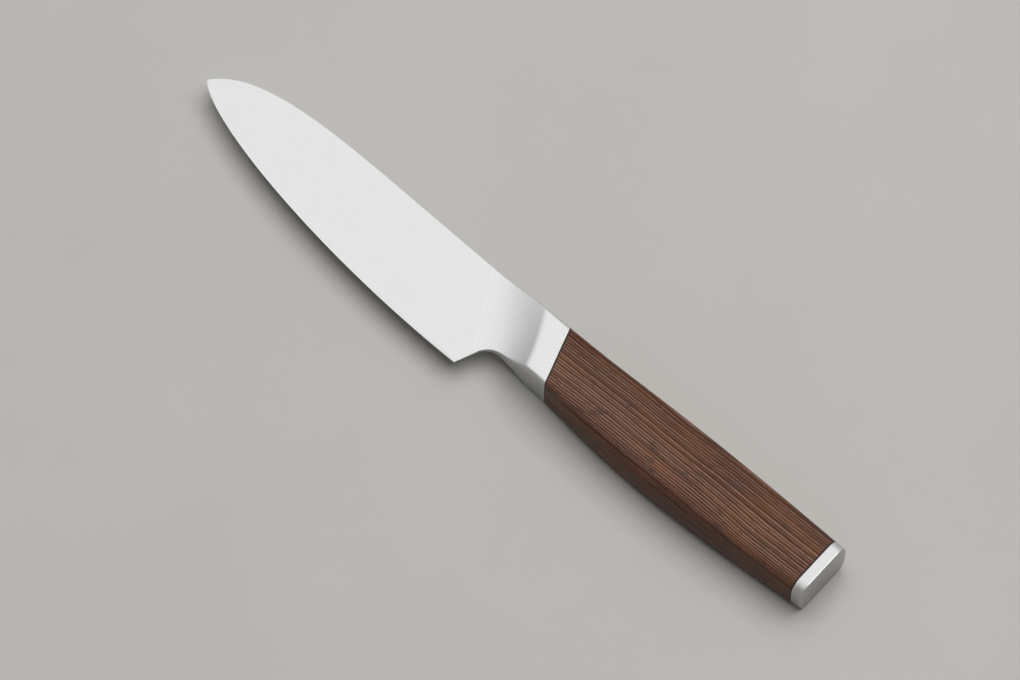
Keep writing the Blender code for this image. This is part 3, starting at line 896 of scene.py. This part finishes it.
def cut_piece(form, name, front, rear, ease_front, ease_rear, segments=2):
    """A copy of the handle's form between two upright planes, with the edges there eased.

    Each plane is given as the place where it crosses y = 0 and its slant.
    """
    piece = copy_of(form, name)
    edit(piece)
    for (setback, slant), round_off, side in ((front, ease_front, -1), (rear, ease_rear, 1)):
        facing = Vector((math.cos(slant), math.sin(slant), 0))
        place = origin() + Vector((setback, 0, 0))
        slice_across(place, facing * side, use_fill=True, clear_outer=True)
        pick(
            "EDGE",
            lambda edge: all(abs((v.co - place).dot(facing)) < 2e-6 for v in edge.verts),
        )
        bpy.ops.mesh.bevel(offset=round_off, segments=segments, affect="EDGES", profile=0.5)
    everything()
    bpy.ops.mesh.remove_doubles(threshold=1e-7)
    bpy.ops.mesh.normals_make_consistent(inside=False)
    return close(piece)


def tongue_block(name, room):
    """The blade's tongue, or with some room the slot for it, across the middle of the weld."""
    blade = look("blade")
    middle = (weld_root() + choil_start()) / 2
    turned = weld_slant()
    foot = middle - blade.tongue_height / 2 * Vector((-math.sin(turned), math.cos(turned)))
    reach = blade.tongue_length + 2 * room
    along = Vector((math.cos(turned), math.sin(turned), 0)) * (reach - TONGUE_ROOT) / 2
    thick = 2 * (blade_half(foot) - TONGUE_SHOULDER + room)
    block = add_piece(name, bpy.ops.mesh.primitive_cube_add, size=1)
    scale((reach + TONGUE_ROOT, blade.tongue_height + 2 * room, thick), (0, 0, 0))
    bpy.ops.transform.rotate(value=-turned, orient_axis="Z", center_override=(0, 0, 0))
    shift(origin() + middle.to_3d() + along)
    return close(block)


def make_blade_form():
    """The blade's outline, cut from a plate, ground flat on both sides and sharpened."""
    blade = look("blade")
    crest = Vector((-blade.spine_straight, spine_line(-blade.spine_straight)))
    towards = Vector((-1, blade.spine_slope)).normalized()
    edge_leave = Vector((math.cos(blade.edge_tip_angle), -math.sin(blade.edge_tip_angle)))
    spine_arrive = Vector((math.cos(blade.spine_tip_angle), math.sin(blade.spine_tip_angle)))
    corners = (
        (tip(), tip() + blade.spine_tip_pull * spine_arrive, tip() + blade.edge_tip_pull * edge_leave),
        (heel(), heel() - Vector((blade.edge_heel_pull, 0)), None),
        (choil_start(), None, None),
        (weld_root(), None, None),
        (crest, None, crest + blade.crest_pull * towards),
    )
    bpy.ops.object.select_all(action="DESELECT")
    bpy.ops.curve.primitive_bezier_curve_add()
    outline = bpy.context.object
    outline.name = outline.data.name = "ground_blade"
    spline = outline.data.splines[0]
    spline.bezier_points.add(len(corners) - 2)
    spline.use_cyclic_u = True
    spline.resolution_u = 56
    for point, (place, left, right) in zip(spline.bezier_points, corners):
        point.handle_left_type = "FREE" if left else "VECTOR"
        point.handle_right_type = "FREE" if right else "VECTOR"
        point.co = place.to_3d()
        if left:
            point.handle_left = left.to_3d()
        if right:
            point.handle_right = right.to_3d()
    bpy.ops.object.convert(target="MESH")
    plate = bpy.context.object
    edit(plate)
    everything()
    bpy.ops.mesh.remove_doubles(threshold=1e-7)
    bpy.ops.mesh.edge_face_add()
    shift((0, 0, PLATE / 2))
    bpy.ops.mesh.extrude_region_move(TRANSFORM_OT_translate={"value": (0, 0, -PLATE)})
    everything()
    bpy.ops.mesh.normals_make_consistent(inside=False)
    root_point, facing = grind()
    for side in (1, -1):
        slice_across(
            (root_point.x, root_point.y, side * root_point.z),
            (facing.x, facing.y, side * facing.z),
            use_fill=True,
            clear_outer=True,
        )
    everything()
    bpy.ops.mesh.normals_make_consistent(inside=False)
    pick("FACE", lambda face: abs(face.normal.z) > 0.9)
    bpy.ops.mesh.inset(thickness=blade.edge_bevel, use_even_offset=True)
    pick(
        "FACE",
        lambda face: face.normal.y < -0.1
        and abs(face.normal.z) < 0.5
        and face.calc_center_median().x < heel().x,
    )
    scale((1, 1, 0), (0, 0, 0))
    everything()
    bpy.ops.mesh.remove_doubles(threshold=1e-6)
    pick("EDGE", is_spine_corner)
    bpy.ops.mesh.bevel(offset=blade.spine_ease, segments=3, affect="EDGES", profile=0.5)
    everything()
    shift(origin())
    bpy.ops.mesh.normals_make_consistent(inside=False)
    return close(plate)


def is_spine_corner(edge):
    """Whether an edge of the blade lies along a corner of its spine."""
    upright = [face for face in edge.link_faces if abs(face.normal.z) < 0.5]
    flat = [face for face in edge.link_faces if abs(face.normal.z) > 0.9]
    return len(upright) == len(flat) == 1 and upright[0].normal.y > 0.1 and not is_weld(upright[0])


def is_weld(face):
    facing = Vector((math.cos(weld_slant()), math.sin(weld_slant()), 0))
    return face.normal.dot(facing) > 0.999


# Pieces


def dress(node, skin):
    """Gives a carried-over CAD node its finish."""
    for material_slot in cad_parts[node].material_slots:
        material_slot.material = skin


def bore(name, radius, start, end):
    """A round bar along the tang's axis, to bore with."""
    low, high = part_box("tang")
    middle = ((start + end) / 2, (low.y + high.y) / 2, (low.z + high.z) / 2)
    bar = add_piece(
        name,
        bpy.ops.mesh.primitive_cylinder_add,
        vertices=96,
        radius=radius,
        depth=end - start,
    )
    bpy.ops.transform.rotate(value=math.pi / 2, orient_axis="Y", center_override=(0, 0, 0))
    shift(middle)
    return close(bar)


def handle_form():
    return bpy.data.objects.get("handle_form") or make_handle_form()


class KNIFE_OT_blade(bpy.types.Operator):
    """Add the flat-ground blade with its tongue"""

    bl_idname = "knife.blade"
    bl_label = "Blade"

    def execute(self, context):
        blade = make_blade_form()
        tongue = tongue_block("tongue", 0.0)
        apply(blade, "BOOLEAN", operation="UNION", solver="EXACT", object=tongue)
        bpy.data.objects.remove(tongue, do_unlink=True)
        skin = brushed_steel("satin_blade_steel", look("blade"), (1, 0.02, 0.3), BLADE_LINE, WALL_SHADE)
        finish(blade, skin, "blade")
        return {"FINISHED"}


class KNIFE_OT_bolster(bpy.types.Operator):
    """Add the bolster with its hollow neck and slanted land"""

    bl_idname = "knife.bolster"
    bl_label = "Bolster"

    def execute(self, context):
        bolster, grip = look("bolster"), look("grip")
        root = weld_root()
        start = root.x + root.y * math.tan(weld_slant()) + WELD_GAP
        weld, joint = (start, weld_slant()), (0.0, bolster.joint_slant)
        piece = cut_piece(handle_form(), "forged_bolster", weld, joint, WELD_EASE, grip.joint_ease)
        hollow(piece, tongue_block("tongue_slot", grip.fit))
        hollow(piece, clearance("tang", grip.fit))
        skin = brushed_steel("satin_bolster_steel", bolster, (1, 0.03, 1), BOLSTER_LINE, WALL_SHADE)
        finish(piece, skin, "bolster")
        return {"FINISHED"}


class KNIFE_OT_grip(bpy.types.Operator):
    """Add the wenge grip"""

    bl_idname = "knife.grip"
    bl_label = "Grip"

    def execute(self, context):
        grip = look("grip")
        front = (grip.liner_thickness + 2 * grip.seam, look("bolster").joint_slant)
        rear = (grip.length - grip.cap_thickness - grip.liner_thickness - 2 * grip.seam, 0.0)
        ease_by = grip.joint_ease
        piece = cut_piece(handle_form(), "wenge_body", front, rear, ease_by, ease_by)
        nut_low, nut_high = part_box("tang_nut")
        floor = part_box("tang_washer")[0].x - grip.seam
        radius = (nut_high.y - nut_low.y) / 2 + SPANNER_ROOM
        hollow(piece, clearance("tang", grip.fit))
        hollow(piece, bore("counterbore", radius, floor, nut_high.x + COUNTERBORE_RUN))
        for pin in PINS:
            hollow(piece, clearance(pin, grip.fit))
        finish(piece, wenge("oiled_wenge", grip), "grip")
        return {"FINISHED"}


class KNIFE_OT_liners(bpy.types.Operator):
    """Add the two liners"""

    bl_idname = "knife.liners"
    bl_label = "Liners"

    def execute(self, context):
        grip = look("grip")
        slant = look("bolster").joint_slant
        rear = grip.length - grip.cap_thickness - grip.seam
        ends = {
            "front_liner": ((grip.seam, slant), (grip.seam + grip.liner_thickness, slant), ("tang",)),
            "rear_liner": ((rear - grip.liner_thickness, 0.0), (rear, 0.0), PINS),
        }
        for node, (front, back, inner) in ends.items():
            piece = cut_piece(handle_form(), node + "_plate", front, back, LINER_EASE, LINER_EASE)
            for hidden in inner:
                hollow(piece, clearance(hidden, grip.fit))
            skin = fibre(node.split("_")[0] + "_fibre", getattr(grip, node))
            finish(piece, skin, node)
            node + "_black"
        return {"FINISHED"}


class KNIFE_OT_end_cap(bpy.types.Operator):
    """Add the steel end cap"""

    bl_idname = "knife.end_cap"
    bl_label = "End Cap"

    def execute(self, context):
        grip = look("grip")
        front, rear = (grip.length - grip.cap_thickness, 0.0), (grip.length, 0.0)
        ease_front, ease_rear = grip.joint_ease, look("cap").ease
        piece = cut_piece(handle_form(), "butt_cap", front, rear, ease_front, ease_rear, 4)
        for pin in PINS:
            hollow(piece, clearance(pin, grip.fit))
        skin = brushed_steel("brushed_cap_steel", look("cap"), (0.04, 1, 1), wall_shade=CAP_WALL_SHADE)
        finish(piece, skin, "end_cap")
        bpy.data.objects.remove(handle_form(), do_unlink=True)
        return {"FINISHED"}


class KNIFE_OT_fixings(bpy.types.Operator):
    """Finish the hidden tang, washer, nut and pins"""

    bl_idname = "knife.fixings"
    bl_label = "Hidden Fixings"

    def execute(self, context):
        skin = brushed_steel("machined_steel", look("cap"), (1, 0.1, 0.1))
        for node in ("tang", "tang_washer", "tang_nut", *PINS):
            dress(node, skin)
        return {"FINISHED"}


class KNIFE_OT_stage(bpy.types.Operator):
    """Add the floor, the lights and the camera"""

    bl_idname = "knife.stage"
    bl_label = "Stage"

    def execute(self, context):
        settings = context.scene.knife_stage
        bpy.ops.mesh.primitive_plane_add(size=12, location=(0, 0, 0))
        floor = context.object
        floor.name = "floor"
        floor.data.materials.append(studio_paint("studio_paint", settings))

        context.scene.world = studio_dome(settings)

        back, up = away(settings.heading), Vector((0, 0, 1))
        lift = math.cos(settings.elevation) * -back + math.sin(settings.elevation) * up
        bpy.ops.object.camera_add(location=AIM + lift * settings.distance)
        camera = context.object
        camera.name = "photo_camera"
        camera.rotation_euler = (-lift).to_track_quat("-Z", "Y").to_euler()
        camera.data.sensor_width = 36
        camera.data.lens = settings.lens
        context.scene.camera = camera

        towards = math.cos(settings.key_elevation) * away(settings.key_heading)
        towards += math.sin(settings.key_elevation) * up
        bpy.ops.object.light_add(type="AREA", location=towards * settings.key_distance)
        key = context.object
        key.name = "key_softbox"
        key.data.shape = "SQUARE"
        key.data.size = settings.key_size
        key.data.energy = settings.key_power
        key.visible_glossy = False
        key.rotation_euler = towards.to_track_quat("Z", "Y").to_euler()
        context.scene.view_settings.view_transform = "Standard"
        return {"FINISHED"}


class KNIFE_PT_panel(bpy.types.Panel):
    """Lists the knife's pieces and their settings"""

    bl_idname = "KNIFE_PT_panel"
    bl_label = "Kitchen Knife"
    bl_space_type = "VIEW_3D"
    bl_region_type = "UI"
    bl_category = "Knife"

    def draw(self, context):
        layout = self.layout
        for operator, settings in LISTED:
            layout.operator(operator.bl_idname)
            if settings:
                group = getattr(context.scene, settings)
                for name in group.__annotations__:
                    layout.prop(group, name)


LISTED = (
    (KNIFE_OT_blade, "knife_blade"),
    (KNIFE_OT_bolster, "knife_bolster"),
    (KNIFE_OT_grip, "knife_grip"),
    (KNIFE_OT_liners, None),
    (KNIFE_OT_end_cap, "knife_cap"),
    (KNIFE_OT_fixings, None),
    (KNIFE_OT_stage, "knife_stage"),
)
GROUPS = {
    "knife_blade": KNIFE_PG_blade,
    "knife_bolster": KNIFE_PG_bolster,
    "knife_cap": KNIFE_PG_cap,
    "knife_grip": KNIFE_PG_grip,
    "knife_stage": KNIFE_PG_stage,
}
CLASSES = (*GROUPS.values(), *(operator for operator, _ in LISTED), KNIFE_PT_panel)


def register():
    for cls in CLASSES:
        bpy.utils.register_class(cls)
    for name, group in GROUPS.items():
        setattr(bpy.types.Scene, name, PointerProperty(type=group))


def unregister():
    for name in GROUPS:
        delattr(bpy.types.Scene, name)
    for cls in reversed(CLASSES):
        bpy.utils.unregister_class(cls)


def main():
    register()
    bpy.ops.object.select_all(action="DESELECT")
    for operator, _ in LISTED:
        group, name = operator.bl_idname.split(".")
        getattr(getattr(bpy.ops, group), name)()


if __name__ == "__main__":
    main()
